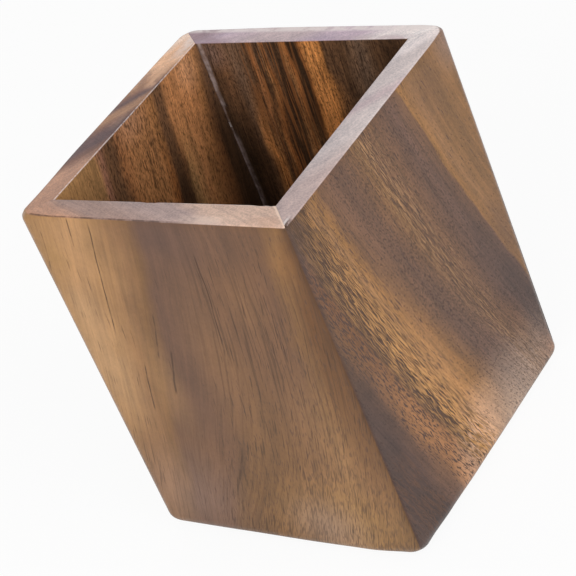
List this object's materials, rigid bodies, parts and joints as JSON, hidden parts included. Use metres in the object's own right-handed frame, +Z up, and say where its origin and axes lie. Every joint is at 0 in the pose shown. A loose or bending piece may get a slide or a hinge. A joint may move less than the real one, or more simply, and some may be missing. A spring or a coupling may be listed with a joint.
{
  "type": "pen holder",
  "caption": "Square upright wooden pen holder: mitred wall boards with softly rounded outer edges, glued round a bottom panel that is held in a groove, open at the top.",
  "frame": {"origin": "middle of the square footprint, on the surface that the holder stands on", "axes": "+Z up out of the open top, -Y out of the front wall, +X out of the right wall"},
  "size_m": [0.077, 0.077, 0.1],
  "materials": {
    "front_wood": "golden and grey-brown streaked hardwood, satin clear finish",
    "right_wood": "dark brown figured hardwood with diagonal grain, satin clear finish",
    "back_wood": "very dark brown hardwood with orange streaks, satin clear finish",
    "left_wood": "orange-brown hardwood with dark pores, satin clear finish",
    "panel_wood": "mid brown hardwood, satin clear finish"
  },
  "bodies": {
    "root": {"front_wall": "front_wood", "right_wall": "right_wood", "back_wall": "back_wood", "left_wall": "left_wood", "bottom_panel": "panel_wood"}
  },
  "joints": []
}
